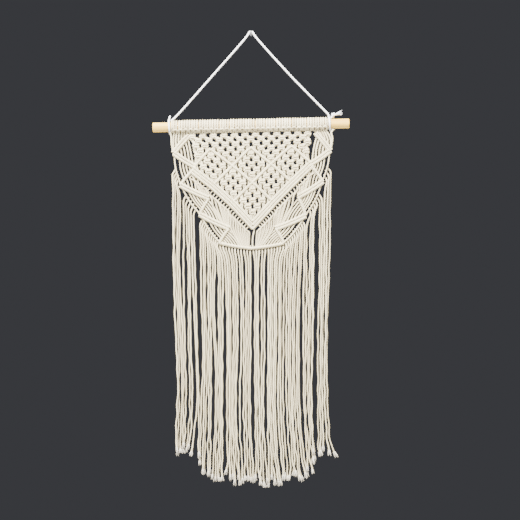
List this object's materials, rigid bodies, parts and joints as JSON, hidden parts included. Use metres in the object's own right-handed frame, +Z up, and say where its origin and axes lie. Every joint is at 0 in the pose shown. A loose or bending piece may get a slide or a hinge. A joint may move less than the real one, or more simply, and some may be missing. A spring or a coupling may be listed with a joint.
{
  "type": "macrame wall hanging on a wooden dowel",
  "caption": "Cream cotton macrame wall hanging: knotted diamonds in a V, leafy sides and a long fringe, on a wooden dowel with a hanger cord.",
  "frame": {"origin": "centre of the flat collar of the wall hook, on the wall", "axes": "+Z up, +Y into the wall, +X to the viewer's right"},
  "size_m": [0.3302, 0.0253, 0.7669],
  "materials": {
    "cotton_rope": "twisted natural cotton, matte",
    "cord_cotton": "twisted off-white cotton, matte",
    "pine": "sanded, unvarnished",
    "steel_wire": "satin"
  },
  "bodies": {
    "root": {"dowel": "pine", "wall_hook": "steel_wire", "hanger_cord": "cord_cotton", "larks_head_heading": "cotton_rope", "knotted_panel": "cotton_rope", "fringe_left_outer": "cotton_rope", "fringe_left_inner": "cotton_rope", "fringe_curtain": "cotton_rope", "fringe_right_inner": "cotton_rope", "fringe_right_outer": "cotton_rope"}
  },
  "joints": []
}
